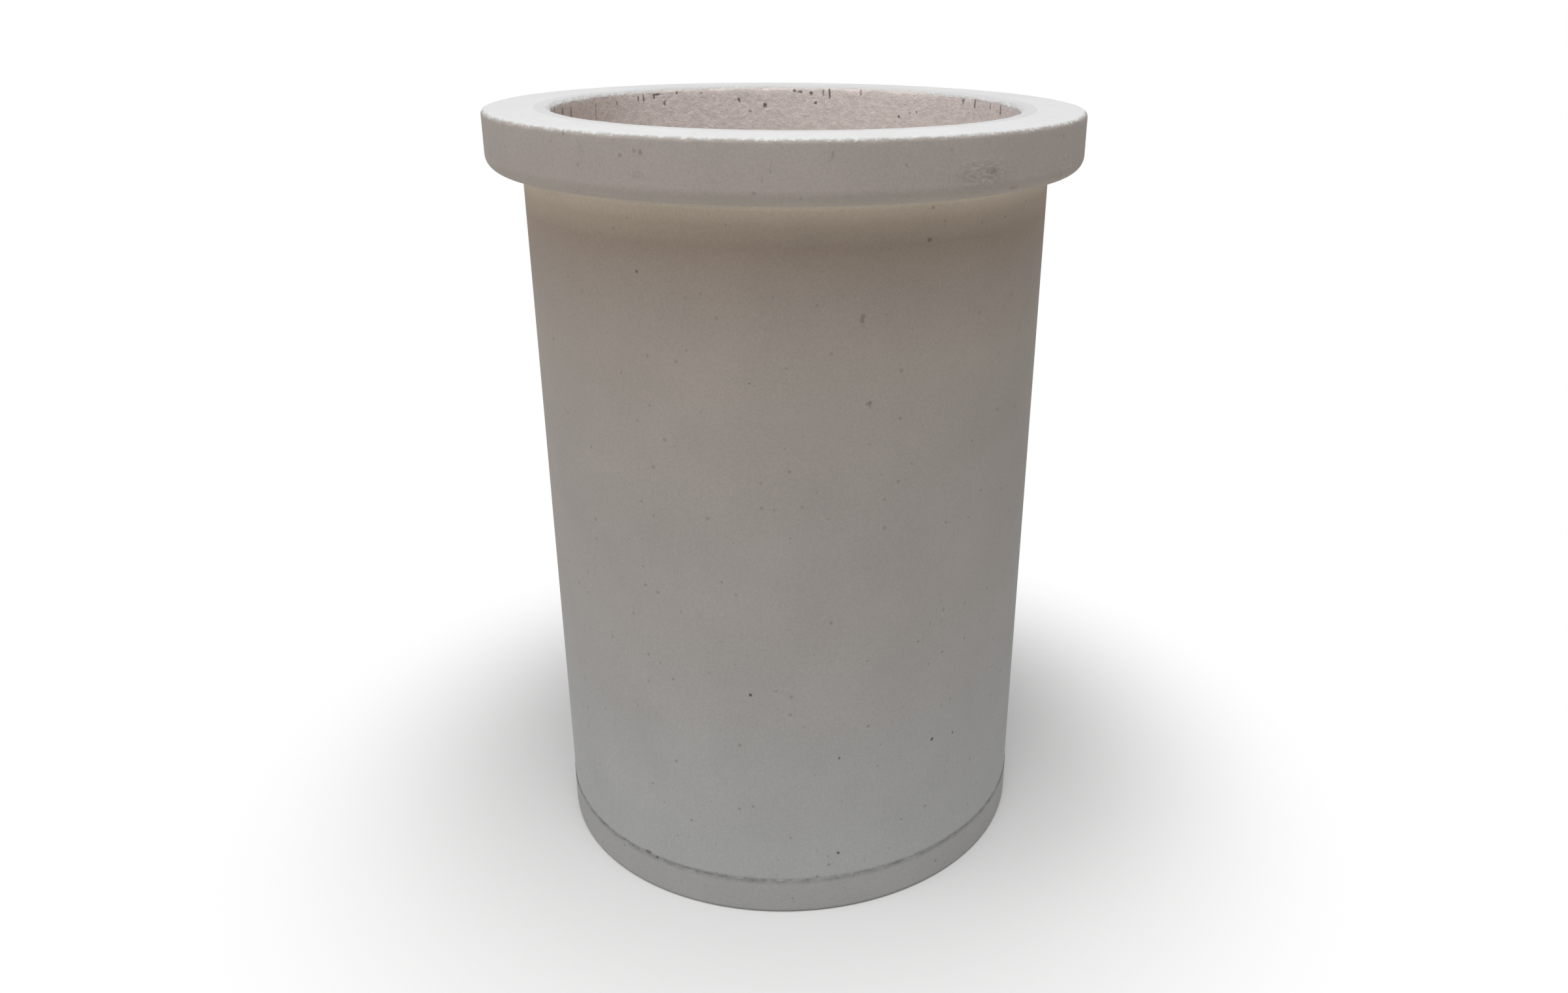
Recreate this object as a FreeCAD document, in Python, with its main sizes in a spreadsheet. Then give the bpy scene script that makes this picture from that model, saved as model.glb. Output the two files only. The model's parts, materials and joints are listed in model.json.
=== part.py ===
"""Foundry crucible: a slip-cast, fired silica pot with a thick collar round its mouth.

One solid in millimetres. The axis is Z, the foot stands on z = 0 and the mouth opens upwards.
"""

import FreeCAD, Part
import math
import os
import Sketcher

# Driving sizes in millimetres and degrees: alias, value, what it sets.
SIZES = [
    ("overall_height", 500, "foot to the top of the collar"),
    ("mouth_diameter", 304, "bore at the top of the collar"),
    ("wall_thickness", 20, "wall of the pot, the same all the way down"),
    ("wall_draft", 1.3, "lean of each upright face, so that the pot leaves its mould"),
    ("floor_thickness", 22, "bottom of the pot"),
    ("floor_corner_radius", 28, "inside corner where wall meets floor"),
    ("collar_thickness", 37, "depth of the collar, top to underside"),
    ("collar_overhang", 22, "how far the underside of the collar stands out from the wall"),
    ("collar_top_edge_chamfer", 2, "worn outer edge of the top face"),
    ("collar_lower_edge_radius", 10, "moulded lower edge of the collar"),
    ("collar_root_chamfer", 4, "inside corner under the collar"),
    ("mouth_edge_chamfer", 2, "worn inner edge of the top face"),
    ("foot_band_height", 24.5, "foot to the parting line of the mould's bottom ring"),
    ("foot_band_step", 0.4, "how far the band below the parting line stands proud"),
    ("foot_edge_chamfer", 2, "lower edge of the foot"),
]

# Lines of the outer half section, in the order they are drawn, out from the axis and back to it.
FOOT, BAND, STEP, WALL, UNDERSIDE, COLLAR, RIM, AXIS = range(8)

# Lines of the cavity's half section, in the same way.
CAVITY_FLOOR, CAVITY_WALL, CAVITY_MOUTH, CAVITY_AXIS = range(4)

# Ends of a sketch line, the sketch's origin point and its upright axis, as constraints number them.
START, END = range(1, 3)
ORIGIN = (-1, START)
HEIGHT_AXIS = -2

MATCH = 0.01  # how near an edge must lie to the circle that it is looked up by


def make_sizes(doc):
    """Put the driving sizes in a spreadsheet, one named cell each."""
    sheet = doc.addObject("Spreadsheet::Sheet", "sizes")
    for row, (alias, value, purpose) in enumerate(SIZES, start=1):
        sheet.set(f"A{row}", alias)
        sheet.set(f"B{row}", str(value))
        sheet.set(f"C{row}", purpose)
        sheet.setAlias(f"B{row}", alias)
    doc.recompute()
    return sheet


def start_section(body, name, corners):
    """Sketch a closed chain of lines on the upright plane: x is a radius, y a height."""
    sketch = body.newObject("Sketcher::SketchObject", name)
    plane = next(item for item in body.Origin.OriginFeatures if item.Role == "XZ_Plane")
    sketch.AttachmentSupport = [(plane, "")]
    sketch.MapMode = "FlatFace"
    points = [FreeCAD.Vector(x, y, 0) for x, y in corners]
    for start, end in zip(points, points[1:] + points[:1]):
        sketch.addGeometry(Part.LineSegment(start, end), False)
    for line in range(len(points)):
        following = (line + 1) % len(points)
        sketch.addConstraint(Sketcher.Constraint("Coincident", line, END, following, START))
    return sketch


def level(sketch, *lines):
    """Keep lines level."""
    for line in lines:
        sketch.addConstraint(Sketcher.Constraint("Horizontal", line))


def drive(sketch, name, expression, kind, *where):
    """Add a named dimension to a sketch and tie it to the sheet."""
    value = sketch.Document.getObject("sizes").evalExpression(expression)
    number = getattr(value, "Value", value)
    if kind == "Angle":
        number = math.radians(number)
    index = sketch.addConstraint(Sketcher.Constraint(kind, *where, number))
    sketch.renameConstraint(index, name)
    sketch.setExpression(f"Constraints.{name}", expression)


def outer_section(body, size):
    """Half section of the pot without its cavity: foot band, wall and collar."""
    top = size("overall_height")
    underside = top - size("collar_thickness")
    parting = size("foot_band_height")
    wall = size("mouth_diameter") / 2 + size("wall_thickness")
    band = wall + size("foot_band_step")
    collar = wall + size("collar_overhang")

    # Drawn plumb, then leaned by the slopes.
    sketch = start_section(body, "outer_section", [
        (0, 0),
        (band, 0),
        (band, parting),
        (wall, parting),
        (wall, underside),
        (collar, underside),
        (collar, top),
        (0, top),
    ])
    sketch.addConstraint(Sketcher.Constraint("Coincident", FOOT, START, *ORIGIN))
    sketch.addConstraint(Sketcher.Constraint("Vertical", AXIS))
    level(sketch, FOOT, STEP, UNDERSIDE, RIM)
    slope = "90 - sizes.wall_draft"
    drive(sketch, "band_slope", slope, "Angle", BAND)
    drive(sketch, "wall_slope", slope, "Angle", WALL)
    drive(sketch, "collar_slope", slope, "Angle", COLLAR)
    drive(sketch, "height", "sizes.overall_height", "DistanceY", AXIS, END, AXIS, START)
    drive(sketch, "parting_line", "sizes.foot_band_height", "DistanceY", *ORIGIN, STEP, START)
    drive(sketch, "step_width", "sizes.foot_band_step", "DistanceX", STEP, END, STEP, START)
    drive(sketch, "collar_depth", "sizes.collar_thickness", "DistanceY", COLLAR, START, COLLAR, END)
    drive(sketch, "overhang", "sizes.collar_overhang", "DistanceX", UNDERSIDE, START, UNDERSIDE, END)
    drive(sketch, "wall_radius",
          "sizes.mouth_diameter / 2 + sizes.wall_thickness"
          " - sizes.collar_thickness * tan(sizes.wall_draft)",
          "DistanceX", *ORIGIN, WALL, END)
    return sketch


def cavity_section(body, size):
    """Half section of the hollow: flat floor, and a wall with the same lean as the outside."""
    top = size("overall_height")
    floor = size("floor_thickness")
    mouth = size("mouth_diameter") / 2

    sketch = start_section(body, "cavity_section", [
        (0, floor),
        (mouth, floor),
        (mouth, top),
        (0, top),
    ])
    on_axis = Sketcher.Constraint("PointOnObject", CAVITY_AXIS, START, HEIGHT_AXIS)
    sketch.addConstraint(on_axis)
    sketch.addConstraint(Sketcher.Constraint("Vertical", CAVITY_AXIS))
    level(sketch, CAVITY_FLOOR, CAVITY_MOUTH)
    drive(sketch, "wall_slope", "90 - sizes.wall_draft", "Angle", CAVITY_WALL)
    drive(sketch, "floor_level", "sizes.floor_thickness", "DistanceY",
          *ORIGIN, CAVITY_FLOOR, START)
    drive(sketch, "mouth_level", "sizes.overall_height", "DistanceY",
          *ORIGIN, CAVITY_MOUTH, END)
    drive(sketch, "mouth_radius", "sizes.mouth_diameter / 2", "DistanceX",
          CAVITY_MOUTH, END, CAVITY_MOUTH, START)
    return sketch


def turn(body, kind, name, sketch):
    """Turn a half section all the way round the axis, to add or to cut."""
    feature = body.newObject(kind, name)
    feature.Profile = sketch
    feature.ReferenceAxis = (sketch, ["V_Axis"])
    feature.Angle = 360
    body.Document.recompute()
    return feature


def edge_at(shape, corner):
    """Name of the circular edge that a corner of the half section makes as it turns."""
    for number, edge in enumerate(shape.Edges, start=1):
        circle = edge.Curve
        if not isinstance(circle, Part.Circle):
            continue
        if abs(circle.Center.z - corner.y) < MATCH and abs(circle.Radius - corner.x) < MATCH:
            return f"Edge{number}"
    raise ValueError(f"no edge at radius {corner.x:.2f} and height {corner.y:.2f}")


def dress_edges(body, base, outer, cavity):
    """Round or chamfer each edge and inside corner, found by the end of a line of its section."""
    edges = [
        ("Chamfer", "foot_edge", outer, FOOT),
        ("Chamfer", "collar_root", outer, WALL),
        ("Fillet", "collar_lower_edge", outer, UNDERSIDE),
        ("Chamfer", "collar_top_edge", outer, COLLAR),
        ("Fillet", "floor_corner", cavity, CAVITY_FLOOR),
        ("Chamfer", "mouth_edge", cavity, CAVITY_WALL),
    ]
    sized_by = {"Chamfer": ("Size", "chamfer"), "Fillet": ("Radius", "radius")}
    for kind, name, sketch, line in edges:
        prop, ending = sized_by[kind]
        feature = body.newObject(f"PartDesign::{kind}", name)
        feature.Base = (base, [edge_at(base.Shape, sketch.Geometry[line].EndPoint)])
        feature.setExpression(prop, f"sizes.{name}_{ending}")
        body.Document.recompute()
        base = feature
    return base


def make_crucible(doc, sheet):
    """Turn the pot, cut its cavity and dress its edges."""
    def size(alias):
        return float(sheet.get(alias))

    body = doc.addObject("PartDesign::Body", "crucible")
    body.Label = "crucible"
    body.Placement = FreeCAD.Placement()
    outer = outer_section(body, size)
    blank = turn(body, "PartDesign::Revolution", "blank", outer)
    cavity = cavity_section(body, size)
    hollow = turn(body, "PartDesign::Groove", "cavity", cavity)
    if hollow.Shape.Volume >= blank.Shape.Volume:
        raise RuntimeError("the cavity cut nothing")
    body.Tip = dress_edges(body, hollow, outer, cavity)
    return body


def check(doc, body):
    """Stop on any failed feature, and on anything but one valid solid."""
    doc.recompute()
    for item in doc.Objects:
        if "Invalid" in item.State or "Error" in item.State:
            raise RuntimeError(f"{item.Name} failed: {item.State}")
    if body.Shape.isNull() or not body.Shape.isValid():
        raise RuntimeError(f"{body.Label} is not a valid shape")
    if len(body.Shape.Solids) != 1:
        raise RuntimeError(f"{body.Label} is not one solid")


def main():
    doc = FreeCAD.newDocument("foundry_crucible")
    crucible = make_crucible(doc, make_sizes(doc))
    check(doc, crucible)
    os.makedirs("parts", exist_ok=True)
    crucible.Shape.exportStep(f"parts/{crucible.Label}.step")
    litres = crucible.Shape.Volume / 1e6
    box = crucible.Shape.optimalBoundingBox()
    print(f"{crucible.Label}: {litres:.3f} litres of solid, {box.XLength:.1f} x {box.YLength:.1f}"
          f" x {box.ZLength:.1f} mm")


main()
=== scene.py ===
"""The look of a foundry crucible: one slip-cast pot of fused silica with a thick collar.

Lengths are metres, written as millimetres times MM. Azimuths are degrees round from the front,
towards +X. Inside the mouth they are counted from the back instead, also towards +X.
"""

import json
import math

import bpy
from mathutils import Matrix, Vector


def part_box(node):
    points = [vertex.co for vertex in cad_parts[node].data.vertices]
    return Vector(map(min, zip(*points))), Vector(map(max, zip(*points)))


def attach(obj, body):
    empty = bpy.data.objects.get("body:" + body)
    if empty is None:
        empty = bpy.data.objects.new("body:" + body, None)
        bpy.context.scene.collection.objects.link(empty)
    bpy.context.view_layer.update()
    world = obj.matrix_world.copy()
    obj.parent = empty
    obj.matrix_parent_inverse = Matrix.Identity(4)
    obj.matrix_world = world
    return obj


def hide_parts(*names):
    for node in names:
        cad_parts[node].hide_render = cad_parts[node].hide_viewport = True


MM = 0.001

# The pot's own section. The frame gives its height, its collar's radius and the collar's underside.
DRAFT_DEGREES = 1.3
TAPER = math.tan(math.radians(DRAFT_DEGREES))
MOUTH_RADIUS = 152 * MM
WALL = 20 * MM
FLOOR = 22 * MM
FLOOR_CORNER = 28 * MM
COLLAR_OVERHANG = 22 * MM
COLLAR_LOWER_ROUND = 10 * MM
COLLAR_ROOT_ROUND = 5 * MM
TOP_EDGE_ROUND = 2.5 * MM
MOUTH_EDGE_ROUND = 2.5 * MM
FOOT_EDGE_ROUND = 2.5 * MM
BAND_HEIGHT = 24.5 * MM
BAND_STEP = 0.4 * MM

# Rows of the mesh: how near one lies to each corner, and how far the close rows go above the
# parting line and down into the mouth.
GUARD = 0.7 * MM
FINEST_ARC_STEP = 0.75 * MM
ARC_STEPS_PER_RADIUS = 7
PARTING_ROWS = 9 * MM
MOUTH_ROWS = 36 * MM
MERGED_WITHIN = 0.01 * MM

# Inputs of the Geometry Nodes tree that turns the section and wears the surface.
RELIEF = {
    "Segments": 560,
    "Seed": 3.7,
    "Out of true": 0.3 * MM,
    "Collar edge wear": 1.0 * MM,
    "Mouth edge wear": 1.6 * MM,
    "Wear reach": 3.5 * MM,
    "Parting line wander": 3.6 * MM,
    "Parting line chips": 0.7 * MM,
    "Inner roughness": 0.5 * MM,
    "Top unevenness": 0.35 * MM,
    "Scale thickness": 0.3 * MM,
}

# Length of each kind of wave, lump or chip in that relief.
SWELL = 180 * MM
COLLAR_CHIPS = 6 * MM
MOUTH_CHIPS = 8 * MM
TOP_DIPS = 14 * MM
CAVITY_LUMPS = 9 * MM
LINE_WANDER = 13 * MM
LINE_BITES = 5 * MM
LIFTED_FLAKES = 4.5 * MM
LINE_WIDTH = 1.5 * MM
TOP_FACE_REACH = 3 * MM

# Rough patches of scale on the side of the collar: azimuth, height, half width, half height.
SCALE_PATCHES = [
    (33, 478 * MM, 24 * MM, 10 * MM),
    (58, 474 * MM, 12 * MM, 8 * MM),
]

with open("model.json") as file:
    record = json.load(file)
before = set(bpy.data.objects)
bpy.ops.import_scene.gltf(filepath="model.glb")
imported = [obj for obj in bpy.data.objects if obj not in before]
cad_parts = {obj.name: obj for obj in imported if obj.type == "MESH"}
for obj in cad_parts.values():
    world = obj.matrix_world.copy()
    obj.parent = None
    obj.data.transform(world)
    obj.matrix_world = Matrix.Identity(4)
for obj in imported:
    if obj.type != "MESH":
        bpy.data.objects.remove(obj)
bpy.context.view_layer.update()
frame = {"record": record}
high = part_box("crucible")[1]
TOP = high.z
COLLAR_RADIUS = high.x
mounts = {mount["name"]: mount for mount in frame["record"]["mounts"]}
UNDERSIDE = mounts["collar_underside"]["pos_m"][2]


# ---------------------------------------------------------------- helpers

def linear(code):
    """Linear RGBA of an sRGB hex colour."""
    channels = [int(code[i:i + 2], 16) / 255 for i in (1, 3, 5)]
    return [c / 12.92 if c <= 0.04045 else ((c + 0.055) / 1.055) ** 2.4 for c in channels] + [1]


def add(tree, kind, inputs=None, **settings):
    """Add a node, set it, and link or fill its inputs. A node as input is its first live output."""
    node = tree.nodes.new(kind)
    for name, value in settings.items():
        setattr(node, name, value)
    for socket, value in (inputs or {}).items():
        if isinstance(value, bpy.types.Node):
            value = next(output for output in value.outputs if output.enabled)
        if isinstance(value, bpy.types.NodeSocket):
            tree.links.new(value, node.inputs[socket])
        else:
            node.inputs[socket].default_value = value
    return node


def per(size):
    """Texture scale whose features are about this size."""
    return 1 / size


# ---------------------------------------------------------------- section

def wall_radius(base, height):
    """Radius at a height on a face that leans with the draft and has this radius at the top."""
    return base - (TOP - height) * TAPER


def section_corners():
    """Corners of the half section as radius, height, rounding, spacing of rows up to the next."""
    outer = MOUTH_RADIUS + WALL
    under = wall_radius(outer, UNDERSIDE)
    collar = under + COLLAR_OVERHANG
    parting = wall_radius(outer, BAND_HEIGHT)
    clear = BAND_HEIGHT + PARTING_ROWS
    deep = TOP - MOUTH_ROWS
    return [
        (0, 0, 0, 30 * MM),
        (wall_radius(outer, 0) + BAND_STEP, 0, FOOT_EDGE_ROUND, 3 * MM),
        (parting + BAND_STEP, BAND_HEIGHT, 0, BAND_STEP),
        (parting, BAND_HEIGHT, 0, 1.6 * MM),
        (wall_radius(outer, clear), clear, 0, 17 * MM),
        (under, UNDERSIDE, COLLAR_ROOT_ROUND, 3 * MM),
        (collar, UNDERSIDE, COLLAR_LOWER_ROUND, 1.8 * MM),
        (COLLAR_RADIUS, TOP, TOP_EDGE_ROUND, 2.2 * MM),
        (MOUTH_RADIUS, TOP, MOUTH_EDGE_ROUND, 3 * MM),
        (wall_radius(MOUTH_RADIUS, deep), deep, 0, 24 * MM),
        (wall_radius(MOUTH_RADIUS, FLOOR), FLOOR, FLOOR_CORNER, 30 * MM),
        (0, FLOOR, 0, 0),
    ]


def rounded_corner(before, corner, after, radius):
    """Points of the arc that rounds a corner between two straight runs."""
    to_before = (before - corner).normalized()
    to_after = (after - corner).normalized()
    half = to_before.angle(to_after) / 2
    centre = corner + (to_before + to_after).normalized() * (radius / math.sin(half))
    start = corner + to_before * (radius / math.tan(half)) - centre
    sweep = start.angle_signed(corner + to_after * (radius / math.tan(half)) - centre)
    step = max(FINEST_ARC_STEP, radius / ARC_STEPS_PER_RADIUS)
    count = max(3, round(radius * abs(sweep) / step))
    return [centre + Matrix.Rotation(-sweep * i / count, 2) @ start for i in range(count + 1)]


def straight_run(start, end, spacing):
    """Points between two corners, with one close to each so that the shading turns there."""
    run = end - start
    margin = run.normalized() * GUARD
    if run.length < 4 * GUARD:
        margin = run / 3
    inner = run - 2 * margin
    count = max(1, round(inner.length / spacing))
    return [start + margin + inner * (k / count) for k in range(count + 1)]


def section_rows():
    """The half section as points, from the foot's middle round to the cavity's."""
    corners = section_corners()
    rows = []
    for i, (radius, height, rounding, _) in enumerate(corners):
        corner = Vector((radius, height))
        arc = [corner]
        if rounding:
            before = Vector(corners[i - 1][:2])
            after = Vector(corners[i + 1][:2])
            arc = rounded_corner(before, corner, after, rounding)
        if rows:
            rows += straight_run(rows[-1], arc[0], corners[i - 1][3])
        rows += arc
    return rows


# ---------------------------------------------------------------- turning and wear

def turned_surface(tree, given):
    """Nodes that turn the section: a grid with one column for each step round the axis."""
    section = given["Section"]
    size = add(tree, "GeometryNodeAttributeDomainSize", {"Geometry": section})
    columns = add(tree, "FunctionNodeIntegerMath", {0: given["Segments"], 1: 1}, operation="ADD")
    grid = add(tree, "GeometryNodeMeshGrid",
               {"Vertices X": size.outputs["Point Count"], "Vertices Y": columns})
    index = add(tree, "GeometryNodeInputIndex")
    row = add(tree, "FunctionNodeIntegerMath", {0: index, 1: columns}, operation="DIVIDE_FLOOR")
    column = add(tree, "FunctionNodeIntegerMath", {0: index, 1: columns}, operation="MODULO")
    corner = add(tree, "GeometryNodeSampleIndex",
                 {"Geometry": section, "Value": add(tree, "GeometryNodeInputPosition"),
                  "Index": row}, data_type="FLOAT_VECTOR")
    part = add(tree, "ShaderNodeMath", {0: column, 1: given["Segments"]}, operation="DIVIDE")
    angle = add(tree, "ShaderNodeMath", {0: part, 1: 2 * math.pi}, operation="MULTIPLY")
    place = add(tree, "ShaderNodeVectorRotate", {"Vector": corner, "Angle": angle},
                rotation_type="Z_AXIS")
    surface = add(tree, "GeometryNodeSetPosition", {"Geometry": grid, "Position": place})
    return add(tree, "GeometryNodeMergeByDistance", {"Geometry": surface, "Distance": MERGED_WITHIN})


def edge_wear(tree, given, place, corner_radius, size):
    """How worn the surface is near an edge of the top face, from 0 to 1: rounded, with chips."""
    across = add(tree, "ShaderNodeMath", {0: place["radius"], 1: corner_radius},
                 operation="SUBTRACT")
    down = add(tree, "ShaderNodeMath", {0: place["height"], 1: TOP}, operation="SUBTRACT")
    offset = add(tree, "ShaderNodeCombineXYZ", {"X": across, "Y": down})
    distance = add(tree, "ShaderNodeVectorMath", {0: offset}, operation="LENGTH")
    near = add(tree, "ShaderNodeMapRange",
               {"Value": distance.outputs["Value"], "From Min": 0, "From Max": given["Wear reach"],
                "To Min": 1, "To Max": 0}, interpolation_type="SMOOTHSTEP")
    chips = add(tree, "ShaderNodeTexNoise",
                {"Vector": place["position"], "W": given["Seed"], "Scale": per(size),
                 "Detail": 4, "Roughness": 0.65}, noise_dimensions="4D")
    depth = add(tree, "ShaderNodeMapRange",
                {"Value": chips, "From Min": 0.42, "From Max": 0.72, "To Min": 0.12, "To Max": 1})
    return add(tree, "ShaderNodeMath", {0: near, 1: depth}, operation="MULTIPLY")


def moved(tree, total, amount, size, direction):
    """Add a move along a direction, of an amount from 0 to 1 times a size."""
    length = add(tree, "ShaderNodeMath", {0: amount, 1: size}, operation="MULTIPLY")
    step = add(tree, "ShaderNodeVectorMath", {0: direction, "Scale": length}, operation="SCALE")
    return add(tree, "ShaderNodeVectorMath", {0: total, 1: step}, operation="ADD")


def surface_place(tree):
    """Position, height, radius and the outward direction of each point of the surface."""
    position = add(tree, "GeometryNodeInputPosition")
    flat = add(tree, "ShaderNodeVectorMath", {0: position, 1: (1, 1, 0)}, operation="MULTIPLY")
    radius = add(tree, "ShaderNodeVectorMath", {0: flat}, operation="LENGTH")
    outward = add(tree, "ShaderNodeVectorMath", {0: flat}, operation="NORMALIZE")
    split = add(tree, "ShaderNodeSeparateXYZ", {0: position})
    return {"position": position, "height": split.outputs["Z"],
            "radius": radius.outputs["Value"], "outward": outward}


def inside_mask(tree, place):
    """1 in the cavity and 0 on the outside, parted at the middle of the wall."""
    drop = add(tree, "ShaderNodeMath", {0: TOP, 1: place["height"]}, operation="SUBTRACT")
    upright = add(tree, "ShaderNodeMath", {0: drop, 1: TAPER, 2: place["radius"]},
                  operation="MULTIPLY_ADD")
    inner = add(tree, "ShaderNodeMath", {0: upright, 1: MOUTH_RADIUS + WALL / 2},
                operation="LESS_THAN")
    above = add(tree, "ShaderNodeMath", {0: place["height"], 1: FLOOR / 2},
                operation="GREATER_THAN")
    return add(tree, "ShaderNodeMath", {0: inner, 1: above}, operation="MULTIPLY")


def worn_parting_line(tree, given, place, outside, inwards, total):
    """Let the mould's parting line wander up and down, with chips here and there.

    Gives the moves so far, and 1 on the line falling to 0 away from it.
    """
    away = add(tree, "ShaderNodeMath", {0: place["height"], 1: BAND_HEIGHT}, operation="SUBTRACT")
    away = add(tree, "ShaderNodeMath", {0: away}, operation="ABSOLUTE")
    near = add(tree, "ShaderNodeMapRange",
               {"Value": away, "From Min": 1 * MM, "From Max": PARTING_ROWS, "To Min": 1,
                "To Max": 0}, interpolation_type="SMOOTHSTEP")
    near = add(tree, "ShaderNodeMath", {0: near, 1: outside}, operation="MULTIPLY")
    ring = add(tree, "ShaderNodeVectorMath", {0: place["position"], 1: (1, 1, 0)},
               operation="MULTIPLY")
    wander = add(tree, "ShaderNodeTexNoise",
                 {"Vector": ring, "W": given["Seed"], "Scale": per(LINE_WANDER), "Detail": 5,
                  "Roughness": 0.75}, noise_dimensions="4D")
    wander = add(tree, "ShaderNodeMath", {0: wander, 1: 0.5}, operation="SUBTRACT")
    wander = add(tree, "ShaderNodeMath", {0: wander, 1: near}, operation="MULTIPLY")
    total = moved(tree, total, wander, given["Parting line wander"], (0, 0, 1))
    at_line = add(tree, "ShaderNodeMapRange",
                  {"Value": away, "From Min": 0, "From Max": LINE_WIDTH, "To Min": 1,
                   "To Max": 0})
    bites = add(tree, "ShaderNodeTexNoise",
                {"Vector": ring, "W": given["Seed"], "Scale": per(LINE_BITES), "Detail": 2},
                noise_dimensions="4D")
    bites = add(tree, "ShaderNodeMapRange", {"Value": bites, "From Min": 0.52, "From Max": 0.7})
    bites = add(tree, "ShaderNodeMath", {0: bites, 1: at_line}, operation="MULTIPLY")
    bites = add(tree, "ShaderNodeMath", {0: bites, 1: outside}, operation="MULTIPLY")
    total = moved(tree, total, bites, given["Parting line chips"], inwards)
    return total, at_line


def worn_surface(tree, given, surface):
    """Nodes that wear the turned pot: edges, parting line, scale, and a surface out of true."""
    place = surface_place(tree)
    inside = inside_mask(tree, place)
    inwards = add(tree, "ShaderNodeVectorMath", {0: place["outward"], "Scale": -1},
                  operation="SCALE")
    down_in = add(tree, "ShaderNodeVectorMath", {0: inwards, 1: (0, 0, -1)}, operation="ADD")
    down_out = add(tree, "ShaderNodeVectorMath", {0: place["outward"], 1: (0, 0, -1)},
                   operation="ADD")

    swell = add(tree, "ShaderNodeTexNoise",
                {"Vector": place["position"], "W": given["Seed"], "Scale": per(SWELL),
                 "Detail": 1}, noise_dimensions="4D")
    total = moved(tree, (0, 0, 0), swell, given["Out of true"], inwards)

    outer_wear = edge_wear(tree, given, place, COLLAR_RADIUS, COLLAR_CHIPS)
    inner_wear = edge_wear(tree, given, place, MOUTH_RADIUS, MOUTH_CHIPS)
    total = moved(tree, total, outer_wear, given["Collar edge wear"], down_in)
    total = moved(tree, total, inner_wear, given["Mouth edge wear"], down_out)

    # The top face is a little uneven, and only lower than true.
    dips = add(tree, "ShaderNodeTexNoise",
               {"Vector": place["position"], "W": given["Seed"], "Scale": per(TOP_DIPS),
                "Detail": 3}, noise_dimensions="4D")
    on_top = add(tree, "ShaderNodeMapRange",
                 {"Value": place["height"], "From Min": TOP - TOP_FACE_REACH,
                  "From Max": TOP})
    dips = add(tree, "ShaderNodeMath", {0: dips, 1: on_top}, operation="MULTIPLY")
    total = moved(tree, total, dips, given["Top unevenness"], (0, 0, -1))

    # The cavity is cast against a rougher core.
    lumps = add(tree, "ShaderNodeTexNoise",
                {"Vector": place["position"], "W": given["Seed"], "Scale": per(CAVITY_LUMPS),
                 "Detail": 4, "Roughness": 0.7}, noise_dimensions="4D")
    below_top = add(tree, "ShaderNodeMapRange",
                    {"Value": place["height"], "From Min": TOP - 1 * MM,
                     "From Max": TOP - 5 * MM})
    lumps = add(tree, "ShaderNodeMath", {0: lumps, 1: below_top}, operation="MULTIPLY")
    lumps = add(tree, "ShaderNodeMath", {0: lumps, 1: inside}, operation="MULTIPLY")
    total = moved(tree, total, lumps, given["Inner roughness"], inwards)

    outside = add(tree, "ShaderNodeMath", {0: 1, 1: inside}, operation="SUBTRACT")
    total, at_line = worn_parting_line(tree, given, place, outside, inwards, total)

    # Scale that has lifted off the side of the collar in patches.
    flakes = add(tree, "ShaderNodeTexNoise",
                 {"Vector": place["position"], "W": given["Seed"], "Scale": per(LIFTED_FLAKES),
                  "Detail": 2}, noise_dimensions="4D")
    flakes = add(tree, "ShaderNodeMapRange", {"Value": flakes, "From Min": 0.48, "From Max": 0.6})
    flakes = add(tree, "ShaderNodeMath", {0: flakes, 1: scale_mask(tree, place["position"])},
                 operation="MULTIPLY")
    total = moved(tree, total, flakes, given["Scale thickness"], inwards)

    surface = add(tree, "GeometryNodeSetPosition", {"Geometry": surface, "Offset": total})
    below = add(tree, "ShaderNodeMapRange",
                {"Value": place["height"], "From Min": BAND_HEIGHT,
                 "From Max": BAND_HEIGHT + GUARD, "To Min": 1, "To Max": 0})
    followed = {
        "wear": add(tree, "ShaderNodeMath", {0: outer_wear, 1: inner_wear}, operation="MAXIMUM"),
        "band": add(tree, "ShaderNodeMath", {0: below, 1: outside}, operation="MULTIPLY"),
        "parting": add(tree, "ShaderNodeMath", {0: at_line, 1: outside}, operation="MULTIPLY"),
    }
    return surface, followed


def scale_mask(tree, position):
    """1 in the patches of scale, fading to 0 at their edges."""
    total = 0
    for azimuth, height, half_width, half_height in SCALE_PATCHES:
        turn = math.radians(azimuth)
        centre = (COLLAR_RADIUS * math.sin(turn), -COLLAR_RADIUS * math.cos(turn), height)
        offset = add(tree, "ShaderNodeVectorMath", {0: position, 1: centre}, operation="SUBTRACT")
        shrink = (1 / half_width, 1 / half_width, 1 / half_height)
        offset = add(tree, "ShaderNodeVectorMath", {0: offset, 1: shrink}, operation="MULTIPLY")
        reach = add(tree, "ShaderNodeVectorMath", {0: offset}, operation="LENGTH")
        patch = add(tree, "ShaderNodeMapRange",
                    {"Value": reach.outputs["Value"], "From Min": 0.1, "From Max": 1.3,
                     "To Min": 1, "To Max": 0}, interpolation_type="SMOOTHSTEP")
        total = add(tree, "ShaderNodeMath", {0: total, 1: patch}, operation="MAXIMUM")
    return total


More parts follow.
